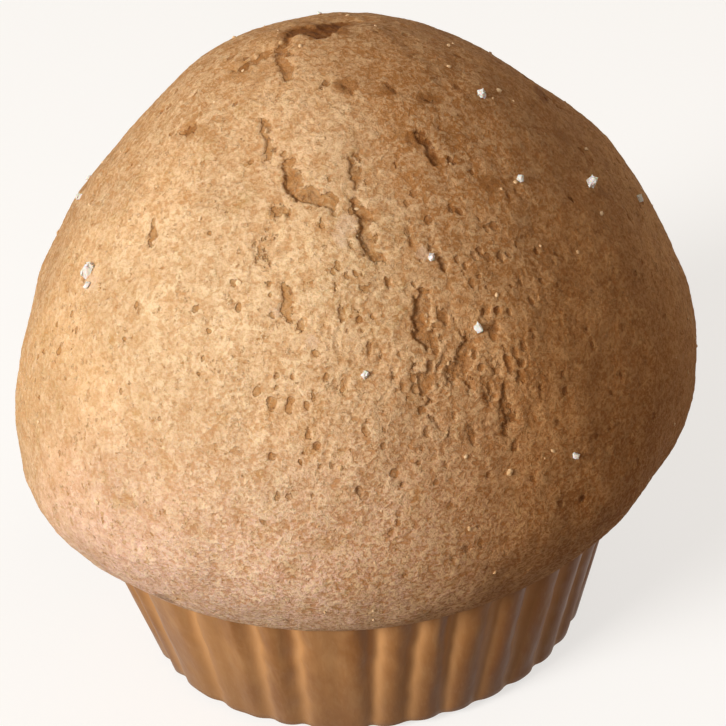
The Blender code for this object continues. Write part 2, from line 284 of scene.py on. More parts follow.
PATCH = (15, 31)  # the middle of the front's torn patch, as azimuth and latitude
RAGGED_SIZE, RAGGED_REACH = 1.5 * MM, 0.45 * MM  # how the edges of splits and pores run in and out
TEAR_STEP = 0.3 * MM  # distance between stations along a split
TEAR_DEPTH = 0.42  # share of a split's full depth that its floor lies at, under the crumb that fills it
LIP_SHARE = 0.35  # how far left of its path a split's lip lies, as a share of its width
LIP_RISE = 0.13 * MM  # how far the torn edge curls up
LIP_PLACE, LIP_WIDTH = 0.3 * MM, 0.28 * MM  # how far outside the split the curl is, and its width
EDGE = 0.3 * MM  # over this a split drops from the crust to its floor
SPLIT_SEEN = 0.6 * MM  # depth at which a split's floor is at its darkest, in painted shade
PORE_EDGE = 0.35 * MM  # and a pore from the crust to its floor

# The baked skin: widths of its flakes, of the crumb under them and of the grain, and their heights.
FLAKE_WIDTH, CRUMB_WIDTH, GRAIN_WIDTH = 1.25 * MM, 0.7 * MM, 0.6 * MM
FLAKE_HEIGHT, TORN_FLAKE_HEIGHT = 0.035 * MM, 0.045 * MM
CRUMB_HEIGHT, GRAIN_HEIGHT = 0.035 * MM, 0.03 * MM
SKIN_SINK = 0.12 * MM  # what is taken off, so that the skin stays within the crown
RIM_BAND = 2.2 * MM  # height over which the crust darkens towards the paper, partly in painted shade
ROUNDED = 0.8 * MM  # height over which the crown's underside turns level
FOOT_GAP = 0.3 * MM  # between the sponge's foot and the pleats

SPONGE_DETAIL = 8  # subdivisions of the ball that the crown starts as
SPONGE_TRIANGLES = 190_000
FINE_FRONT = (6, 44, 32)  # azimuth, latitude and reach in degrees of the finer part
PORES = 700
CRUMBS = 170

# The lights: azimuth, elevation, distance in metres, size, power and colour.
KEY_LIGHT = (-49, 25, 1.1, 0.4, 14.6, (1.0, 0.99, 0.97))
FILL_LIGHT = (98, 52, 1.2, 0.75, 1.7, (1.0, 0.91, 0.80))
STUDIO_GLOW, STUDIO_COLOUR = 0.23, (1.0, 0.78, 0.58, 1.0)
SWEEP_RADIUS = 1.2

# The camera looks down on the crown's centre and leans to the right.
VIEW_ELEVATION = math.radians(30)
VIEW_DISTANCE = 6 * CROWN_RADIUS
VIEW_ROLL = 0.097
PIXELS_PER_RADIUS = 326.5
FRAME_PIXELS = 726
CENTRE_PIXEL = (346.0, 386.6)
SENSOR = 36.0


# ---------------------------------------------------------------- modelling helpers


def select_only(piece):
    if bpy.context.mode != "OBJECT":
        bpy.ops.object.mode_set(mode="OBJECT")
    bpy.ops.object.select_all(action="DESELECT")
    piece.select_set(True)
    bpy.context.view_layer.objects.active = piece


def named(name):
    piece = bpy.context.active_object
    piece.name = name
    piece.data.name = name
    return piece


def apply_place(piece):
    select_only(piece)
    bpy.ops.object.transform_apply(location=True, rotation=True, scale=True)


def apply_modifiers(piece):
    select_only(piece)
    for modifier in list(piece.modifiers):
        bpy.ops.object.modifier_apply(modifier=modifier.name)


def points_of(piece):
    points = np.empty(len(piece.data.vertices) * 3)
    piece.data.vertices.foreach_get("co", points)
    return points.reshape(-1, 3)


def set_points(piece, points):
    piece.data.vertices.foreach_set("co", np.ascontiguousarray(points, np.float32).ravel())
    piece.data.update()


def set_attribute(piece, name, values):
    attribute = piece.data.attributes.new(name, "FLOAT", "POINT")
    attribute.data.foreach_set("value", np.ascontiguousarray(values, np.float32))


def smooth(share):
    share = np.clip(share, 0, 1)
    return share * share * (3 - 2 * share)


# ---------------------------------------------------------------- the sponge's form


def toward(azimuth, latitude):
    azimuth, latitude = math.radians(azimuth), math.radians(latitude)
    level = math.cos(latitude)
    return np.array((math.sin(azimuth) * level, -math.cos(azimuth) * level, math.sin(latitude)))


def crown_reach(direction):
    """Distance from the crown's centre to its turned surface, for an array of directions."""
    out = np.hypot(direction[:, 0], direction[:, 1]) / CROWN_RADIUS
    up = np.abs(direction[:, 2])
    above = (out**RISE_POWER + (up / CROWN_RISE) ** RISE_POWER) ** (-1 / RISE_POWER)
    below = (out**DROP_POWER + (up / CROWN_DROP) ** DROP_POWER) ** (-1 / DROP_POWER)
    return np.where(direction[:, 2] >= 0, above, below)


def swelling(direction):
    height = np.zeros(len(direction))
    for azimuth, latitude, spread, rise in SWELLINGS:
        cosine = np.clip(direction @ toward(azimuth, latitude), -1, 1)
        height += rise * MM * np.exp(-((np.degrees(np.arccos(cosine)) / spread) ** 2))
    return height


def field(points, function):
    """A noise function at each point."""
    return np.array([function(Vector(point)) for point in points])


def lumps(points):
    def height(point):
        return sum(rise * noise.noise(point / size) for size, rise in LUMPS)

    return field(points, height)


def tear_path(tear):
    """Directions of the stations along a split; one that has a single place is a short upright one."""
    places = list(tear[2:])
    if len(places) == 1:
        azimuth, latitude = places[0]
        half = math.degrees(0.35 * tear[0] * MM / CROWN_RADIUS)
        places = [(azimuth, latitude + half), (azimuth, latitude - half)]
    stations = [toward(*place) for place in places]
    path = []
    for start, end in zip(stations, stations[1:]):
        steps = max(2, round(np.linalg.norm(end - start) * CROWN_RADIUS / TEAR_STEP))
        path += [start + (end - start) * step / steps for step in range(steps)]
    path.append(stations[-1])
    path = np.array(path)
    return path / np.linalg.norm(path, axis=1)[:, None]


def sideways(path):
    """Unit directions along the path and across it, the latter to the right and up."""
    along = np.gradient(path, axis=0)
    along /= np.linalg.norm(along, axis=1)[:, None]
    across = np.cross(path, along)
    right = np.stack((-path[:, 1], path[:, 0], np.zeros(len(path))), axis=1)
    right /= np.maximum(1e-6, np.linalg.norm(right, axis=1))[:, None]
    wanted = right + np.array((0, 0, 0.5))
    across *= np.sign((across * wanted).sum(axis=1))[:, None]
    return along, across


def tears(direction, ragged):
    """Depth of the splits' floor at each point, in metres.

    A split opens to the right of its lip, where the crust has torn, and its floor rises to the right.
    """
    depth, lip = np.zeros(len(direction)), np.zeros(len(direction))
    for tear in TEARS:
        width, deepest = tear[0] * MM, tear[1] * MM
        path = tear_path(tear)
        along, across = sideways(path)
        middle = path.mean(axis=0)
        close = np.flatnonzero(direction @ middle / np.linalg.norm(middle) > 0.9)
        gap = np.linalg.norm(direction[close, None] - path[None], axis=2)
        station = gap.argmin(axis=1)
        offset = (direction[close] - path[station]) * CROWN_RADIUS
        side = (offset * across[station]).sum(axis=1) + ragged[close] + LIP_SHARE * width
        beyond = np.abs((offset * along[station]).sum(axis=1)) + 0.5 * ragged[close]
        taper = 0.65 + 0.35 * np.sin(np.pi * station / (len(path) - 1))
        curl = taper * np.exp(-(((side + LIP_PLACE) / LIP_WIDTH) ** 2)) * smooth(1 - beyond / width)
        floor = deepest * taper * (1 - 0.4 * np.clip(side / width, 0, 1))
        end = 0.3 * width - beyond
        slope = smooth((np.minimum(side, end)) / EDGE + 0.35)
        slope *= TEAR_DEPTH * smooth((1.15 * width - side) / (0.75 * width))
        depth[close] = np.maximum(depth[close], floor * slope)
        lip[close] = np.maximum(lip[close], LIP_RISE * curl)
    return depth - lip


def pore_places():
    """Random small pores: direction, half width, half length and depth.

    They crowd the front's torn patch, and there are more of them behind than on the rest of the front.
    """
    rng = random.Random(23)
    patch = toward(*PATCH)
    places = []
    while len(places) < PORES:
        azimuth = rng.uniform(-180, 180)
        latitude = math.degrees(math.asin(rng.uniform(-0.4, 1)))
        direction = toward(azimuth, latitude)
        torn = math.exp(-((1 - float(direction @ patch)) / 0.08))
        behind = 0.16 * (direction[1] > 0)
        if rng.random() > 0.04 + 0.08 * max(0, direction[2]) + behind + 0.8 * torn:
            continue
        size = rng.uniform(0.13, 0.24) + 0.2 * rng.random() ** 4 + 0.05 * torn
        length = size * rng.uniform(0.9, 1.5 + 1.4 * torn)
        places.append((direction, size * MM, length * MM, size * rng.uniform(0.35, 0.8) * MM))
    return places


def pores(direction, ragged):
    """How far inside a small pore each point is, and the pore's depth there."""
    tree = kdtree.KDTree(len(direction))
    for index, point in enumerate(direction):
        tree.insert(point, index)
    tree.balance()
    inside, depth = np.full(len(direction), -1.0), np.zeros(len(direction))
    margin = 0.5 * MM
    for place, half_width, half_length, deepest in pore_places():
        up = np.array((0, 0, 1.0)) - place * place[2]
        up /= max(1e-6, np.linalg.norm(up))
        side = np.cross(up, place)
        for point, index, _gap in tree.find_range(place, (half_length + margin) / CROWN_RADIUS):
            offset = (np.array(point) - place) * CROWN_RADIUS
            gap = math.hypot(offset @ side / half_width, offset @ up / half_length)
            inner = (1 - gap) * half_width + 0.55 * ragged[index]
            inside[index] = max(inside[index], inner)
            depth[index] = max(depth[index], deepest * smooth(inner / PORE_EDGE + 0.4))
    return inside, depth


def crust_relief(points, patch):
    """Height of the baked skin's flakes and of the open crumb between them, in metres.

    In the torn patch the flakes are larger, longer and stand higher.
    """

    def height(point, torn):
        bend = noise.noise_vector(point / (1.7 * MM)) * 0.8
        long = Vector((point.x, point.y, point.z * (1 - 0.35 * torn)))
        gaps, seeds = noise.voronoi(long / FLAKE_WIDTH + bend)
        seam = min(1.0, (gaps[1] - gaps[0]) / 0.16)
        flake = noise.cell(seeds[0] * 7.3)
        small = noise.voronoi(point / CRUMB_WIDTH + bend * 1.5)[0]
        crumb = min(1.0, (small[1] - small[0]) / 0.3)
        grain = noise.noise(point / GRAIN_WIDTH)
        flake_height = FLAKE_HEIGHT + (TORN_FLAKE_HEIGHT - FLAKE_HEIGHT) * torn
        return flake_height * (flake + seam) + CRUMB_HEIGHT * crumb + GRAIN_HEIGHT * grain

    return np.array([height(Vector(point), torn) for point, torn in zip(points, patch)])


def fine_ball():
    """A ball of small facets, four times finer round the torn front."""
    bpy.ops.mesh.primitive_ico_sphere_add(subdivisions=SPONGE_DETAIL, radius=1.0)
    ball = named("sponge")
    bpy.ops.object.mode_set(mode="EDIT")
    bpy.ops.mesh.select_mode(type="FACE")
    bpy.ops.mesh.select_all(action="DESELECT")
    shape = bmesh.from_edit_mesh(ball.data)
    front = Vector(toward(*FINE_FRONT[:2]))
    reach = math.cos(math.radians(FINE_FRONT[2]))
    for face in shape.faces:
        face.select = face.calc_center_median().dot(front) > reach
    bmesh.update_edit_mesh(ball.data)
    bpy.ops.mesh.subdivide(number_cuts=1)
    bpy.ops.mesh.select_mode(type="VERT")
    bpy.ops.object.mode_set(mode="OBJECT")
    return ball


def make_sponge():
    """A fine ball drawn out to the crown, torn and pitted, with its foot pushed down into the case."""
    sponge = fine_ball()
    direction = points_of(sponge)
    direction /= np.linalg.norm(direction, axis=1)[:, None]
    turned = direction * crown_reach(direction)[:, None]
    turned[:, 2] += CROWN_LEVEL
    shown = turned[:, 2] > SHELF - 3 * MM
    rise, torn, sunk = (np.zeros(len(direction)) for _ in range(3))
    fade = smooth((turned[shown, 2] - SHELF) / (4 * MM))
    surface = turned[shown]
    in_and_out = field(surface, lambda point: noise.fractal(point / RAGGED_SIZE, 0.5, 2.0, 4))
    ragged = in_and_out * RAGGED_REACH
    split_depth = tears(direction[shown], ragged)
    split_depth -= 0.35 * np.clip(split_depth / SPLIT_SEEN, 0, 1) * (ragged + 0.1 * MM)
    pitted, pit_depth = pores(direction[shown], ragged)
    patch = np.exp((direction[shown] @ toward(*PATCH) - 1) / 0.06)
    rise[shown] = swelling(direction[shown])
    rise[shown] += fade * (lumps(surface) - np.where(pit_depth > split_depth, pit_depth, split_depth))
    skin = crust_relief(surface, patch)
    rise[shown] += (0.35 + 0.65 * fade) * (skin - SKIN_SINK)
    torn[shown] = pitted / (1.2 * MM) + 0.5
    sunk[shown] = np.clip(split_depth / SPLIT_SEEN, 0, 1)
    points = turned + direction * rise[:, None]
    over = points[:, 2] - SHELF
    rounded = np.maximum(0, over + ROUNDED) ** 2 / (4 * ROUNDED)
    points[:, 2] = SHELF + np.where(over > ROUNDED, over, rounded)
    set_points(sponge, points)
    set_attribute(sponge, "pore", np.clip(torn, 0, 1))
    set_attribute(sponge, "split", sunk)
    set_attribute(sponge, "skin", skin_share(shown, skin))
    close_underside(sponge)
    thin_out(sponge)
    paint_crust(sponge)
    bpy.ops.object.shade_smooth()
    return sponge


def near(points, azimuth, latitude, reach):
    """1 at a place on the crown, fading to 0 at a distance in mm."""
    return 1 - smooth(np.linalg.norm(points - on_crown(azimuth, latitude), axis=1) / (reach * MM))


def blend(colour, share, other):
    return colour + (np.array(other) - colour) * np.asarray(share)[:, None]


def paint_crust(sponge):
    """Paints the crust's broad colours, mottling and spots on the sponge's points, and marks its parts.

    The marks say how far the crust is browned, by baking and round its right side by painted shade, where
    its grain is coarse and where it is calm.
    """
    points = points_of(sponge)
    broad = 0.5 + field(points, lambda point: noise.noise(point / (8 * MM)))
    mottle = field(points, lambda point: noise.fractal(point / (2.4 * MM), 0.6, 2.0, 3))
    colour = blend(np.tile(GOLDEN, (len(points), 1)), smooth(broad) * 0.8, (0.74, 0.47, 0.235))
    for azimuth, latitude, reach, share, tint in ZONES:
        colour = blend(colour, share * near(points, azimuth, latitude, reach), tint)
    colour *= (0.9 + 0.2 * smooth(broad))[:, None]
    # Partly moist crumb, partly painted shade where the crown meets the paper: the crust darkens towards
    # the rim.
    rim = smooth((SHELF + RIM_BAND - points[:, 2]) / RIM_BAND)
    colour = blend(colour, 0.85 * rim, RIM_MOIST_AND_SHADE)
    colour = blend(colour, smooth(mottle - 0.1) * 0.75, np.minimum(colour * 0.72, ORANGE))
    # Browning by baking, and round the right side partly painted shade; it darkens the speckle and holes
    # in the finish.
    bake_and_shade = sum(near(points, *place) * share for share, *place in BAKE_AND_SHADE)
    bake_and_shade = np.clip(bake_and_shade, 0, 1)
    colour = blend(colour, smooth(-mottle - 0.1) * 0.5 * (1 - 0.75 * bake_and_shade), PALE)
    calm = CALM_SHARE * near(points, *CALM)
    for azimuth, latitude, radius, share, tint in SPOTS:
        spot = smooth((near(points, azimuth, latitude, 2.4 * radius) + mottle * 0.5 - 0.4) / 0.15)
        spot *= share * np.minimum(1, 1.4 * near(points, azimuth, latitude, 4 * radius))
        colour = blend(colour, spot, tint)
        calm = np.maximum(calm, spot)
    attribute = sponge.data.attributes.new("crust", "FLOAT_COLOR", "POINT")
    rgba = np.concatenate((colour, np.ones((len(points), 1))), axis=1)
    attribute.data.foreach_set("color", np.ascontiguousarray(rgba, np.float32).ravel())
    set_attribute(sponge, "bake_and_shade", bake_and_shade)
    set_attribute(sponge, "coarse", near(points, *COARSE))
    set_attribute(sponge, "calm", np.maximum(calm, RIM_CALM * rim))


def skin_share(shown, skin):
    share = np.zeros(len(shown))
    share[shown] = np.clip(skin / (0.2 * MM), 0, 1)
    return share


def close_underside(sponge):
    """Cuts the ball off at the rim's level and pushes the cut face down into the case."""
    select_only(sponge)
    bpy.ops.object.mode_set(mode="EDIT")
    bpy.ops.mesh.select_all(action="SELECT")
    bpy.ops.mesh.bisect(
        plane_co=(0, 0, SHELF + 0.02 * MM), plane_no=(0, 0, 1), use_fill=True, clear_inner=True
    )
    bpy.ops.mesh.inset(thickness=1.5 * MM, use_even_offset=False)
    round_off(sponge, foot_radius(SHELF))
    bpy.ops.mesh.extrude_region_move(TRANSFORM_OT_translate={"value": (0, 0, SPONGE_FLOOR - SHELF)})
    round_off(sponge, foot_radius(SPONGE_FLOOR))
    bpy.ops.object.mode_set(mode="OBJECT")


def foot_radius(height):
    """The sponge's radius inside the case, clear of the pleats."""
    pleat = BASE_PLEAT_DEPTH + (RIM_PLEAT_DEPTH - BASE_PLEAT_DEPTH) * height / SHELF
    return BASE_RADIUS + WALL_SLOPE * height - pleat - PAPER - FOOT_GAP


def round_off(piece, radius):
    """Sets what is selected in edit mode on a circle round the upright axis."""
    shape = bmesh.from_edit_mesh(piece.data)
    for vertex in shape.verts:
        if vertex.select:
            vertex.co.xy = vertex.co.xy.normalized() * radius
    bmesh.update_edit_mesh(piece.data)


def thin_out(piece):
    piece.data.calc_loop_triangles()
    count = len(piece.data.loop_triangles)
    if count > SPONGE_TRIANGLES:
        decimate = piece.modifiers.new("Thin out", "DECIMATE")
        decimate.ratio = SPONGE_TRIANGLES / count
        apply_modifiers(piece)
    select_only(piece)


# ---------------------------------------------------------------- sugar and crumbs


def spot_on(sponge, azimuth, latitude):
    """The sponge's surface in that direction from the crown's centre."""
    direction = Vector(toward(azimuth, latitude))
    start = Vector((0, 0, CROWN_LEVEL)) + direction * (2 * CROWN_RADIUS)
    hit, spot, normal, _face = sponge.ray_cast(start, -direction)
    return (spot, normal) if hit else (None, None)


def join_all(pieces, name):
    bpy.ops.object.select_all(action="DESELECT")
    for piece in pieces:
        piece.select_set(True)
    bpy.context.view_layer.objects.active = pieces[0]
    bpy.ops.object.join()
    whole = named(name)
    apply_place(whole)
    return whole


def crystal_places(rng):
    places = list(CRYSTALS)
    closest = math.cos(math.radians(CRYSTALS_APART))
    while len(places) < len(CRYSTALS) + SCATTERED_CRYSTALS:
        azimuth = rng.uniform(100, 290)
        latitude = math.degrees(math.asin(rng.uniform(-0.05, 0.97)))
        if all(toward(azimuth, latitude) @ toward(*other[:2]) < closest for other in places):
            places.append((azimuth, latitude, rng.uniform(0.9, 1.4)))
    return places


def make_sugar(sponge):
    """Coarse sugar: chipped little blocks, half sunk in the crust."""
    rng = random.Random(7)
    grains = []
    for azimuth, latitude, width in crystal_places(rng):
        spot, normal = spot_on(sponge, azimuth, latitude)
        if spot is None:
            continue
        size = width * MM
        bpy.ops.mesh.primitive_cube_add(size=size * 0.62, location=spot + normal * size * 0.08)
        grain = bpy.context.active_object
        grain.scale = (rng.uniform(0.75, 1.25), rng.uniform(0.8, 1.15), rng.uniform(0.6, 0.95))
        grain.rotation_euler = [rng.uniform(0, math.tau) for _ in range(3)]
        bevel = grain.modifiers.new("Chipped", "BEVEL")
        bevel.width = size * rng.uniform(0.12, 0.2)
        bevel.segments = 2
        apply_modifiers(grain)
        for vertex in grain.data.vertices:
            vertex.co += Vector([rng.uniform(-0.1, 0.1) * size for _ in range(3)])
        grains.append(grain)
    return join_all(grains, "sugar")


def make_crumbs(sponge):
    """Loose flakes of crust and crumb that cling to the surface."""
    rng = random.Random(31)
    bpy.ops.mesh.primitive_ico_sphere_add(subdivisions=1, radius=1.0)
    pattern = named("crumbs")
    shape = bmesh.new()
    for _ in range(CRUMBS):
        azimuth = rng.uniform(-180, 180)
        latitude = math.degrees(math.asin(rng.uniform(-0.2, 1)))
        spot, normal = spot_on(sponge, azimuth, latitude)
        if spot is None:
            continue
        size = (rng.uniform(0.12, 0.24) + 0.16 * rng.random() ** 4) * MM
        broad = [size * rng.uniform(0.7, 1.3) for _ in range(2)]
        squash = Matrix.Diagonal((*broad, size * 0.6, 1))
        turn = normal.to_track_quat("Z", "Y").to_matrix().to_4x4()
        spin = Matrix.Rotation(rng.uniform(0, math.tau), 4, "Z")
        first = len(shape.verts)
        shape.from_mesh(pattern.data)
        shape.verts.ensure_lookup_table()
        fresh = shape.verts[first:]
        for vertex in fresh:
            vertex.co *= rng.uniform(0.75, 1.2)
        place = Matrix.Translation(spot + normal * size * 0.15)
        bmesh.ops.transform(shape, matrix=place @ turn @ spin @ squash, verts=fresh)
    shape.to_mesh(pattern.data)
    shape.free()
    pattern.data.update()
    return pattern


# ---------------------------------------------------------------- the paper case


def pleat_folds():
    """Azimuth of each fold line and how far in it goes: the front's, then random ones round the back."""
    rng = random.Random(11)
    first, last = FRONT_FOLDS[0][0], FRONT_FOLDS[-1][0]
    widths = [rng.uniform(0.8, 1.2) for _ in range(BACK_FOLDS + 1)]
    stretch = (360 + first - last) / sum(widths)
    folds = list(FRONT_FOLDS)
    for width in widths[:-1]:
        last += width * stretch
        folds.append((last, rng.uniform(0.6, 1.0)))
    return folds


def fold_reach(azimuth):
    """How far in the paper lies at each azimuth: 1 in a deep fold line, 0 on the panels between."""
    reach = np.zeros(len(azimuth))
    for place, share in pleat_folds():
        gap = np.abs((azimuth - place + 180) % 360 - 180)
        reach = np.maximum(reach, share * np.interp(gap, FOLD_GAPS, FOLD_SHAPE))
    return reach


def make_case():
    """A fine open cup, pleated in code, given its paper's thickness."""
    rows = 22
    bpy.ops.mesh.primitive_cylinder_add(
        vertices=COLUMNS, radius=1.0, depth=1.0, end_fill_type="NGON", location=(0, 0, 0.5)
    )
    case = named("case")
    apply_place(case)
    bpy.ops.object.mode_set(mode="EDIT")
    bpy.ops.mesh.select_all(action="SELECT")
    for row in range(1, rows):
        bpy.ops.mesh.bisect(plane_co=(0, 0, row / rows), plane_no=(0, 0, 1))
        bpy.ops.mesh.select_all(action="SELECT")
    bpy.ops.object.mode_set(mode="OBJECT")
    shape = bmesh.new()
    shape.from_mesh(case.data)
    ends = [face for face in shape.faces if len(face.verts) > 4]
    lids = [face for face in ends if face.calc_center_median().z > 0.5]
    bmesh.ops.delete(shape, geom=lids, context="FACES_ONLY")
    shape.to_mesh(case.data)
    shape.free()
    points = points_of(case)
    angle = np.arctan2(points[:, 0], -points[:, 1]) % math.tau
    level = points[:, 2]
    height = level * RIM_HEIGHT
    depth = BASE_PLEAT_DEPTH + (RIM_PLEAT_DEPTH - BASE_PLEAT_DEPTH) * level
    lean = field(points * 9, noise.noise) * 0.7 - SLANT * (level - 0.5)
    inward = fold_reach(np.degrees(angle) + lean)
    radius = BASE_RADIUS + WALL_SLOPE * height - depth * inward
    tuck = HEEL - np.sqrt(np.maximum(0, HEEL**2 - np.maximum(0, HEEL - height) ** 2))
    radius -= tuck
    flat = np.stack((radius * np.sin(angle), -radius * np.cos(angle), height), axis=1)
    drawn_out = flat * (1, 1, 0.4) / (5 * MM)
    wobble = field(drawn_out, noise.noise)
    flat[:, :2] *= (1 - (0.12 * MM * (wobble + 1) * level / radius))[:, None]
    set_points(case, flat)
    set_attribute(case, "fold", inward)
    # Painted shade: the paper darkens towards its base.
    set_attribute(case, "low", 1 - smooth(level * 1.25))
    # Painted shade: darker, browner paper round the right side, away from the key light.
    right_side_shade = np.linalg.norm(flat - (24 * MM, -16 * MM, 2 * MM), axis=1) / (40 * MM)
    set_attribute(case, "right_side_shade", 1 - smooth(right_side_shade))
    wall = case.modifiers.new("Paper", "SOLIDIFY")
    wall.thickness = PAPER * 0.7
    wall.offset = -1.0
    apply_modifiers(case)
    bpy.ops.object.shade_smooth_by_angle(angle=math.radians(50))
    return case


# ---------------------------------------------------------------- materials


class Value:
    """A socket that can be used in sums: an expression on values adds its Math nodes."""

    def __init__(self, finish, socket):
        self.finish = finish
        self.socket = socket

    def _math(self, operation, *values):
        node = self.finish.node("ShaderNodeMath", {"operation": operation})
        for index, value in enumerate(values):
            self.finish.put(value, node.inputs[index])
        return Value(self.finish, node.outputs[0])

    def __add__(self, other):
        return self._math("ADD", self, other)

    __radd__ = __add__

    def __sub__(self, other):
        return self._math("SUBTRACT", self, other)

    def __rsub__(self, other):
        return self._math("SUBTRACT", other, self)

    def __mul__(self, other):
        return self._math("MULTIPLY", self, other)

    __rmul__ = __mul__

    def within(self):
        made = self._math("ADD", self, 0.0)
        made.socket.node.use_clamp = True
        return made


class Finish:
    """One material, with short calls for the nodes that it is made of."""

    def __init__(self, name):
        self.material = bpy.data.materials.new(name)
        self.material.use_nodes = True
        self.tree = self.material.node_tree
        self.shader = self.tree.nodes["Principled BSDF"]

    def node(self, kind, settings=None, **values):
        made = self.tree.nodes.new(kind)
        for key, value in (settings or {}).items():
            setattr(made, key, value)
        for key, value in values.items():
            self.put(value, made.inputs[key.replace("_", " ")])
        return made

    def put(self, value, socket):
        if isinstance(value, Value):
            value = value.socket
        if isinstance(value, bpy.types.NodeSocket):
            self.tree.links.new(value, socket)
        elif isinstance(value, (tuple, list)) and len(value) == 3 and socket.type == "RGBA":
            socket.default_value = (*value, 1.0)
        else:
            socket.default_value = value

    def coordinates(self, scale=(1.0, 1.0, 1.0)):
        place = self.node("ShaderNodeTexCoord").outputs["Object"]
        mapping = self.node("ShaderNodeMapping", Vector=place, Scale=scale)
        return mapping.outputs["Vector"]

    def attribute(self, name):
        return Value(self, self.node("ShaderNodeAttribute", {"attribute_name": name}).outputs["Fac"])

    def noise(self, size, detail=4.0, roughness=0.6, stretch=(1.0, 1.0, 1.0)):
        made = self.node(
            "ShaderNodeTexNoise",
            Vector=self.coordinates(stretch),
            Scale=1 / size,
            Detail=detail,
            Roughness=roughness,
        )
        return Value(self, made.outputs["Fac"])

    def warped(self, size, reach):
        """Object coordinates pushed about by up to reach, so that cells lose their straight sides."""
        place = self.coordinates()
        push = self.node("ShaderNodeTexNoise", Vector=place, Scale=1 / size, Detail=2.0)
        centred = self.node("ShaderNodeVectorMath", {"operation": "SUBTRACT"})
        self.put(push.outputs["Color"], centred.inputs[0])
        centred.inputs[1].default_value = (0.5, 0.5, 0.5)
        moved = self.node("ShaderNodeVectorMath", {"operation": "MULTIPLY_ADD"})
        self.put(centred.outputs["Vector"], moved.inputs[0])
        moved.inputs[1].default_value = (2 * reach,) * 3
        self.put(place, moved.inputs[2])
        return moved.outputs["Vector"]

    def flakes(self, size, place):
        """A number from 0 to 1 for each little flake."""
        made = self.node("ShaderNodeTexVoronoi", Vector=place, Scale=1 / size)
        return Value(self, made.outputs["Color"])

    def ramp(self, value, low, high):
        made = self.node(
            "ShaderNodeMapRange",
            {"interpolation_type": "SMOOTHSTEP"},
            Value=value,
            From_Min=low,
            From_Max=high,
        )
        return Value(self, made.outputs["Result"])

    def mix(self, share, low, high, blend="MIX"):
        made = self.node("ShaderNodeMix", {"data_type": "RGBA", "blend_type": blend})
        self.put(share, made.inputs["Factor"])
        self.put(low, made.inputs[6])
        self.put(high, made.inputs[7])
        return made.outputs[2]

    def bump(self, height, distance, strength=1.0):
        made = self.node("ShaderNodeBump", Height=height, Distance=distance, Strength=strength)
        return made.outputs["Normal"]


def on_crown(azimuth, latitude):
    """The place there on the crown's surface, before it is torn."""
    direction = toward(azimuth, latitude)[None]
    place = direction[0] * (crown_reach(direction) + swelling(direction))[0]
    return (place[0], place[1], place[2] + CROWN_LEVEL)


def crumb_finish():
    """Golden crumb under a thin, flaky skin; splits and pores lie open with ragged edges."""
    finish = Finish("crumb")
    pore = finish.attribute("pore")
    split = finish.attribute("split")
    skin = finish.attribute("skin")
    bake_and_shade = finish.attribute("bake_and_shade")
    place = finish.warped(0.8 * MM, 0.32 * MM)
    small_flake = finish.flakes(0.42 * MM, place)
    flake = finish.flakes(0.9 * MM, place) * 0.5 + small_flake * 0.5
    coarse = finish.attribute("coarse")
    grain = finish.ramp(finish.noise(0.38 * MM, 4.0, 0.72, (0.9, 0.9, 1.2)), 0.33, 0.67)
    ragged = finish.noise(0.9 * MM, 4.0, 0.7, (1, 1, 0.7)) - 0.5
    lost_flake = finish.ramp(small_flake + ragged * 1.2 + coarse * 0.05, 0.86, 0.9)
    hole = (lost_flake + finish.ramp(ragged + bake_and_shade * 0.03, 0.165, 0.185)).within()
    in_split = finish.ramp(split + ragged * 0.8, 0.27, 0.36)
    open_crumb = (in_split + finish.ramp(pore + ragged * 0.5, 0.48, 0.54)).within()
    # Painted shade: the open crumb darkens towards a split's floor, over its own darker colour.
    deeper_shade = finish.ramp(split + ragged * 0.5, 0.45, 0.9)
    colour = finish.node("ShaderNodeAttribute", {"attribute_name": "crust"}).outputs["Color"]
    # The speckle and the holes darken where the crust is browned: by baking, and round the right side by
    # painted shade.
    light = finish.mix(bake_and_shade * 0.9, *LIGHT_SPECKLE)
    shade = finish.mix(bake_and_shade * 0.85, *DARK_SPECKLE)
    colour = finish.mix(hole * 0.85, colour, finish.mix(bake_and_shade * 0.8, RUST, DARK_RUST))
    crumb_and_depth_shade = finish.mix(deeper_shade, *CRUMB_AND_DEPTH_SHADE)
    colour = finish.mix(open_crumb * 0.9, colour, crumb_and_depth_shade, "MULTIPLY")
    even = 1 - finish.attribute("calm")
    on_top = even * (1 - open_crumb * 0.65)
    speckles = (  # what each follows, from where to where, its share, where it is seen, and its colour
        (flake, 0.5, 0.62, 0.5 + coarse * 0.2, on_top, light),
        (flake, 0.48, 0.36, 0.5 + coarse * 0.15, even, shade),
        (grain, 0.5, 0.78, 0.44 + coarse * 0.5, on_top, light),
        (grain, 0.42, 0.12, 0.45 + coarse * 0.5, even, shade),
    )
    for value, start, stop, share, seen, tint in speckles:
        colour = finish.mix(finish.ramp(value, start, stop) * share * seen, colour, tint)
    colour = finish.mix(finish.ramp(skin, 0.45, 0.1) * 0.25, colour, shade)
    finish.put(colour, finish.shader.inputs["Base Color"])
    height = grain * (0.25 + coarse * 0.3) + flake * 0.5 - hole * 0.6 - open_crumb * 0.8
    finish.put(finish.bump(height, 0.24 * MM, 0.9), finish.shader.inputs["Normal"])
    finish.put(0.82 - grain * 0.12, finish.shader.inputs["Roughness"])
    finish.shader.inputs["Subsurface Weight"].default_value = 0.12
    finish.shader.inputs["Subsurface Radius"].default_value = (1.0, 0.45, 0.2)
    finish.shader.inputs["Subsurface Scale"].default_value = 0.8 * MM
    finish.shader.inputs["Specular IOR Level"].default_value = 0.08
    return finish.material


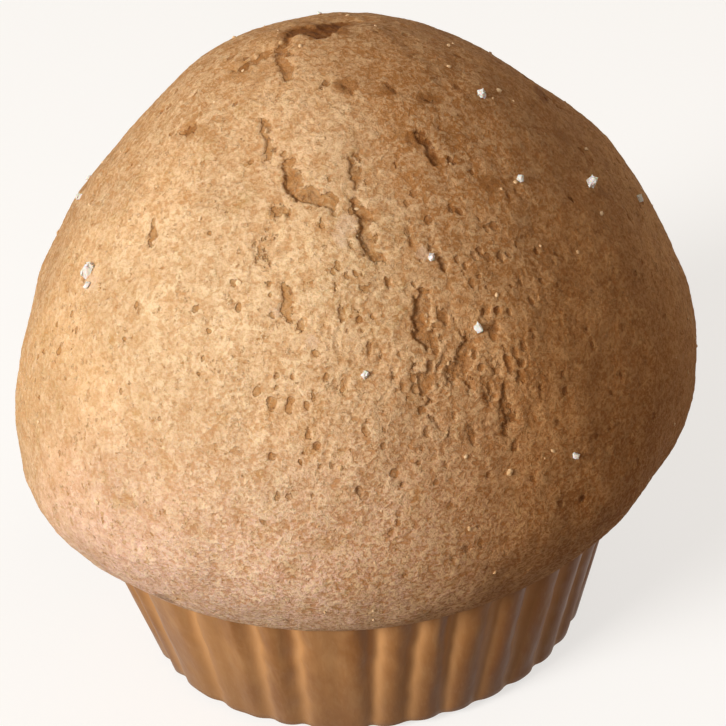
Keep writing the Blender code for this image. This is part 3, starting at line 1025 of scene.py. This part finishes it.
def loose_crumb_finish():
    finish = Finish("loose crumb")
    shade = finish.noise(2.0 * MM, 2.0)
    colour = finish.mix(finish.ramp(shade, 0.35, 0.65), (0.60, 0.36, 0.16), (0.80, 0.57, 0.33))
    finish.put(colour, finish.shader.inputs["Base Color"])
    finish.put(finish.bump(finish.noise(0.15 * MM), 0.05 * MM), finish.shader.inputs["Normal"])
    finish.shader.inputs["Roughness"].default_value = 0.85
    return finish.material


def sugar_finish():
    finish = Finish("sugar")
    cloud = finish.noise(0.5 * MM, 3.0)
    colour = finish.mix(finish.ramp(cloud, 0.3, 0.7), (0.70, 0.66, 0.60), (0.86, 0.84, 0.81))
    finish.put(colour, finish.shader.inputs["Base Color"])
    finish.put(finish.bump(cloud, 0.08 * MM, 0.6), finish.shader.inputs["Normal"])
    finish.shader.inputs["Roughness"].default_value = 0.3
    finish.shader.inputs["Subsurface Weight"].default_value = 0.4
    finish.shader.inputs["Subsurface Scale"].default_value = 0.5 * MM
    return finish.material


def case_finish():
    finish = Finish("greased paper")
    fold = finish.attribute("fold")
    stain = finish.noise(7 * MM, 4.0, 0.6, (1, 1, 0.5))
    streak = finish.noise(1.3 * MM, 3.0, 0.6, (1, 1, 0.12))
    fibre = finish.noise(0.5 * MM, 4.0, 0.7, (1, 1, 0.4))
    colour = finish.mix(finish.ramp(stain, 0.36, 0.64), PAPER_DARK, PAPER_PALE)
    # Painted shade round the right side.
    colour = finish.mix(finish.attribute("right_side_shade") * 0.95, colour, PAPER_RIGHT_SHADE)
    colour = finish.mix(finish.ramp(streak, 0.45, 0.7) * 0.3, colour, PAPER_STREAK)
    # Painted light: the fold lines are lighter and more orange, lifting the shade that falls in them.
    colour = finish.mix(finish.ramp(fold, 0.05, 0.8) * 0.85, colour, PAPER_FOLD_LIGHT)
    # Painted shade towards the base.
    colour = finish.mix(finish.attribute("low") * 0.5, colour, PAPER_LOW_SHADE)
    colour = finish.mix(finish.ramp(fibre, 0.5, 0.8) * 0.12, colour, PAPER_FIBRE)
    finish.put(colour, finish.shader.inputs["Base Color"])
    finish.put(0.38 + finish.ramp(stain, 0.4, 0.7) * 0.2, finish.shader.inputs["Roughness"])
    wrinkle = finish.noise(2.2 * MM, 3.0, 0.5, (1, 1, 0.5)) * 0.8 + streak * 0.5 + fibre * 0.12
    finish.put(finish.bump(wrinkle, 0.3 * MM, 0.4), finish.shader.inputs["Normal"])
    finish.shader.inputs["Specular IOR Level"].default_value = 0.13
    return finish.material


def floor_finish():
    """A pale floor with a faint glow of its own, so that it stays pale in the low side light."""
    finish = Finish("pale floor")
    finish.shader.inputs["Base Color"].default_value = (0.34, 0.335, 0.33, 1.0)
    finish.shader.inputs["Roughness"].default_value = 0.9
    finish.shader.inputs["Emission Color"].default_value = (1.0, 0.99, 0.97, 1.0)
    finish.shader.inputs["Emission Strength"].default_value = 0.68
    return finish.material


# ---------------------------------------------------------------- camera, light and floor


def make_camera():
    """Looks down at the crown's centre from the front, and sets it at its place in the frame."""
    focal_pixels = PIXELS_PER_RADIUS * VIEW_DISTANCE / CROWN_RADIUS
    bpy.ops.object.camera_add()
    camera = bpy.context.active_object
    camera.name = "camera"
    camera.data.sensor_width = SENSOR
    camera.data.lens = focal_pixels / FRAME_PIXELS * SENSOR
    camera.data.clip_start = 0.01
    camera.data.clip_end = 10.0
    away = math.cos(VIEW_ELEVATION) * VIEW_DISTANCE
    camera.location = (0, -away, CROWN_LEVEL + math.sin(VIEW_ELEVATION) * VIEW_DISTANCE)
    right = (CENTRE_PIXEL[0] - FRAME_PIXELS / 2) / focal_pixels
    down = (CENTRE_PIXEL[1] - FRAME_PIXELS / 2) / focal_pixels
    facing = Matrix.Rotation(math.pi / 2 - VIEW_ELEVATION, 3, "X")
    roll = Matrix.Rotation(-VIEW_ROLL, 3, "Z")
    aim = Matrix.Rotation(down, 3, "X") @ Matrix.Rotation(right, 3, "Y")
    camera.rotation_euler = (facing @ roll @ aim).to_euler()
    bpy.context.scene.camera = camera


def area_light(name, azimuth, elevation, distance, size, power, colour):
    direction = Vector(toward(azimuth, elevation))
    location = Vector((0, 0, CROWN_LEVEL)) + direction * distance
    bpy.ops.object.light_add(type="AREA", location=location)
    light = bpy.context.active_object
    light.name = name
    light.rotation_euler = direction.to_track_quat("Z", "Y").to_euler()
    light.data.size = size
    light.data.energy = power
    light.data.color = colour


def make_sweep():
    """A round pale floor that curves up into a wall far behind everything."""
    bpy.ops.mesh.primitive_circle_add(
        vertices=96, radius=SWEEP_RADIUS, fill_type="NGON", location=(0, 0, -0.2 * MM)
    )
    floor = named("floor")
    apply_place(floor)
    bpy.ops.object.mode_set(mode="EDIT")
    bpy.ops.mesh.select_all(action="SELECT")
    bpy.ops.mesh.region_to_loop()
    bend, steps = 0.5 * SWEEP_RADIUS, 12
    for step in range(steps):
        start, stop = (math.pi / 2 * part / steps for part in (step, step + 1))
        bpy.ops.mesh.extrude_edges_move(
            TRANSFORM_OT_translate={"value": (0, 0, bend * (math.cos(start) - math.cos(stop)))}
        )
        grow = (SWEEP_RADIUS + bend * math.sin(stop)) / (SWEEP_RADIUS + bend * math.sin(start))
        bpy.ops.transform.resize(value=(grow, grow, 1), center_override=(0, 0, 0))
    bpy.ops.mesh.extrude_edges_move(TRANSFORM_OT_translate={"value": (0, 0, 2 * SWEEP_RADIUS)})
    bpy.ops.object.mode_set(mode="OBJECT")
    bpy.ops.object.shade_smooth()
    return floor


def make_stage():
    bpy.context.scene.view_settings.view_transform = "Standard"
    floor = make_sweep()
    floor.data.materials.append(floor_finish())
    floor.visible_diffuse = False
    world = bpy.data.worlds.new("studio")
    world.use_nodes = True
    backdrop = world.node_tree.nodes["Background"]
    backdrop.inputs["Color"].default_value = STUDIO_COLOUR
    backdrop.inputs["Strength"].default_value = STUDIO_GLOW
    bpy.context.scene.world = world
    area_light("key", *KEY_LIGHT)
    area_light("fill", *FILL_LIGHT)


# ---------------------------------------------------------------- the whole


def dress(piece, material, slot, *nodes):
    piece.data.materials.clear()
    piece.data.materials.append(material)
    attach(piece, "root")
    if nodes:
        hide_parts(*nodes)


make_camera()
make_stage()
sponge = make_sponge()
sugar = make_sugar(sponge)
crumbs = make_crumbs(sponge)
case = make_case()
dress(sponge, crumb_finish(), "crumb", "cake")
dress(sugar, sugar_finish(), "crumb", "cake")
dress(crumbs, loose_crumb_finish(), "crumb")
dress(case, case_finish(), "case_paper", "paper_case")
